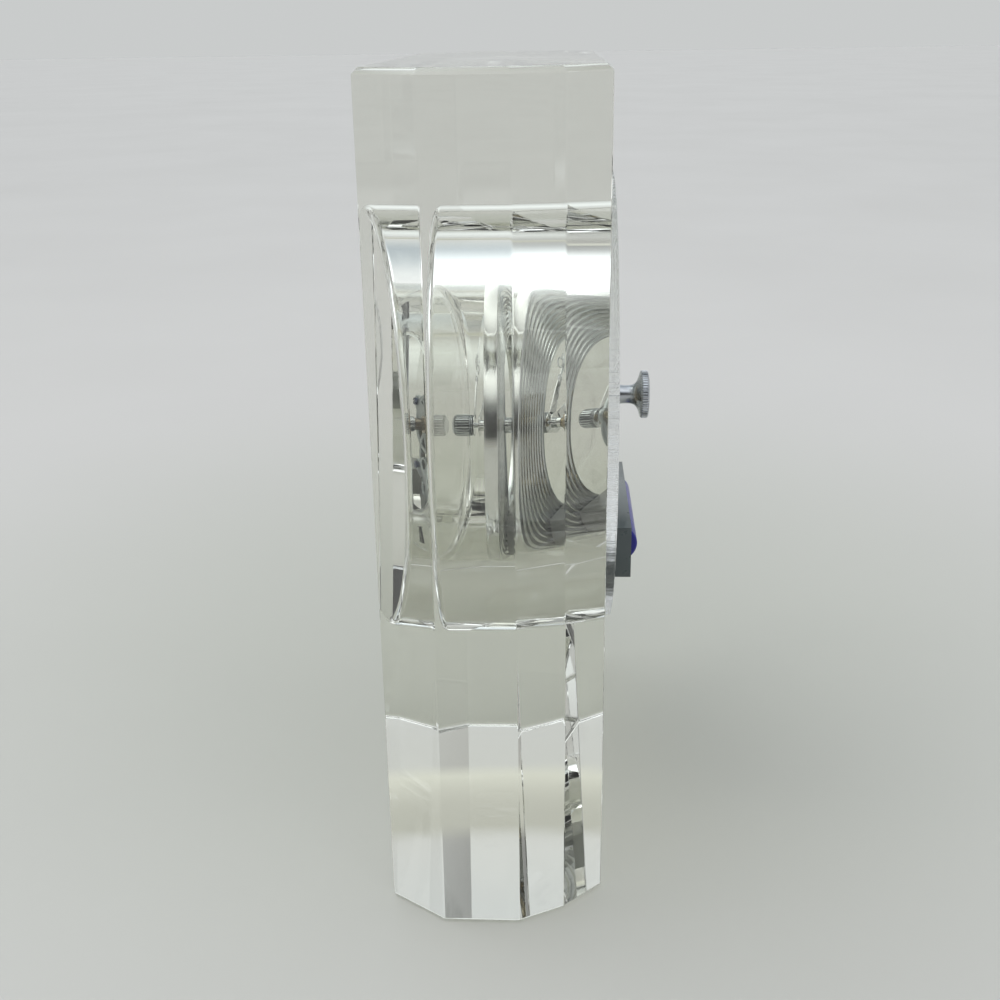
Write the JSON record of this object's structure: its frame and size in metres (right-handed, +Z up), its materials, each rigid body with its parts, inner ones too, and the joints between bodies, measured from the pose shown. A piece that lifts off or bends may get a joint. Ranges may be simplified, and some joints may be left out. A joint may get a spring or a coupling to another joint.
{
  "type": "glass skeleton clock",
  "caption": "Free-standing faceted clear glass block with a deep round pocket from the back, holding an open ring dial, skeleton hands and an open battery movement on a clear rear disc.",
  "frame": {"origin": "centre of the glass block's flat base, midway between its front and back faces", "axes": "+Z up, front of the dial faces -Y, +X to the right seen from the front"},
  "size_m": [0.1732, 0.073, 0.2205],
  "materials": {
    "block_glass": "polished clear glass",
    "clear_acrylic": "polished clear sheet",
    "chrome": "mirror chrome with turned grooves",
    "numeral_black": "gloss black",
    "hand_silver": "coined bright silver",
    "satin_silver": "satin silver",
    "carrier_grey": "moulded grey-green",
    "holder_grey": "moulded grey-green",
    "screw_steel": "bright zinc",
    "contact_nickel": "nickel plated spring steel",
    "cell_blue": "gloss dark blue sleeve",
    "plate_grey": "blue-grey plated",
    "brass": "polished brass",
    "blued_screw": "blued steel",
    "bush_brass": "tarnished brass",
    "steel": "polished steel",
    "iron_sheet": "stamped magnetic iron",
    "bobbin_white": "natural nylon",
    "copper": "enamelled wire",
    "board_green": "solder mask",
    "chip_black": "moulded epoxy",
    "magnet": "sintered magnet",
    "pinion_nylon": "natural acetal"
  },
  "bodies": {
    "case": {"glass_block": "block_glass", "rear_disc": "clear_acrylic", "dial_ring": "chrome", "dial_numerals": "numeral_black", "dial_bridge": "satin_silver", "bridge_screws": "screw_steel", "ring_screws": "screw_steel", "carrier": "carrier_grey", "battery_holder": "holder_grey", "holder_screws": "screw_steel", "battery_spring": "contact_nickel", "battery_contact": "contact_nickel", "front_plate": "plate_grey", "middle_plate": "brass", "back_plate": "brass", "plate_pillars": "brass", "pillar_screws": "blued_screw", "movement_screws": "screw_steel", "centre_bush": "bush_brass", "bush_sleeve": "steel", "bush_washer": "bush_brass", "bush_nut": "bush_brass", "minute_stud": "steel", "stator": "iron_sheet", "coil_core": "iron_sheet", "coil_bobbin": "bobbin_white", "coil_winding": "copper", "circuit_board": "board_green", "quartz_can": "steel", "driver_chip": "chip_black"},
    "minute_arbor": {"centre_arbor": "steel", "cannon_pinion": "steel", "clutch_spring": "brass", "arbor_collar": "steel", "minute_hand": "hand_silver", "hand_washer": "satin_silver", "cap_nut": "satin_silver", "setting_knob": "satin_silver"},
    "hour_pipe": {"hour_wheel": "brass", "hour_hand": "hand_silver"},
    "motion_wheel": {"minute_wheel": "brass", "minute_pinion": "steel"},
    "centre_wheel": {"centre_wheel": "brass"},
    "intermediate": {"intermediate_wheel": "brass", "intermediate_pinion": "steel"},
    "rotor": {"rotor_magnet": "magnet", "rotor_pinion": "pinion_nylon"},
    "battery": {"battery_cell": "cell_blue"}
  },
  "joints": [
    {"name": "minute_hand_turn", "type": "hinge", "parent": "case", "child": "minute_arbor", "pos_m": [0, 0, 0.1244], "axis": [0, 1, 0], "continuous": true},
    {"name": "hour_hand_turn", "type": "hinge", "parent": "case", "child": "hour_pipe", "pos_m": [0, 0, 0.1244], "axis": [0, 1, 0], "continuous": true},
    {"name": "motion_wheel_turn", "type": "hinge", "parent": "case", "child": "motion_wheel", "pos_m": [0.01195, 0, 0.12545], "axis": [0, 1, 0], "continuous": true},
    {"name": "centre_wheel_turn", "type": "hinge", "parent": "case", "child": "centre_wheel", "pos_m": [0, 0, 0.1244], "axis": [0, 1, 0], "continuous": true},
    {"name": "intermediate_turn", "type": "hinge", "parent": "case", "child": "intermediate", "pos_m": [0.006, 0, 0.11079], "axis": [0, 1, 0], "continuous": true},
    {"name": "rotor_turn", "type": "hinge", "parent": "case", "child": "rotor", "pos_m": [0.005, 0, 0.09733], "axis": [0, 1, 0], "continuous": true},
    {"name": "battery_slide", "type": "slide", "parent": "case", "child": "battery", "axis": [0, 1, 0], "range_m": [0, 0.013]}
  ],
  "couplings": [
    {"joint": "hour_hand_turn", "follows": "minute_hand_turn", "ratio": 0.083333},
    {"joint": "motion_wheel_turn", "follows": "minute_hand_turn", "ratio": -0.33333},
    {"joint": "centre_wheel_turn", "follows": "minute_hand_turn", "ratio": 1},
    {"joint": "intermediate_turn", "follows": "minute_hand_turn", "ratio": -7.5},
    {"joint": "rotor_turn", "follows": "minute_hand_turn", "ratio": 60}
  ]
}
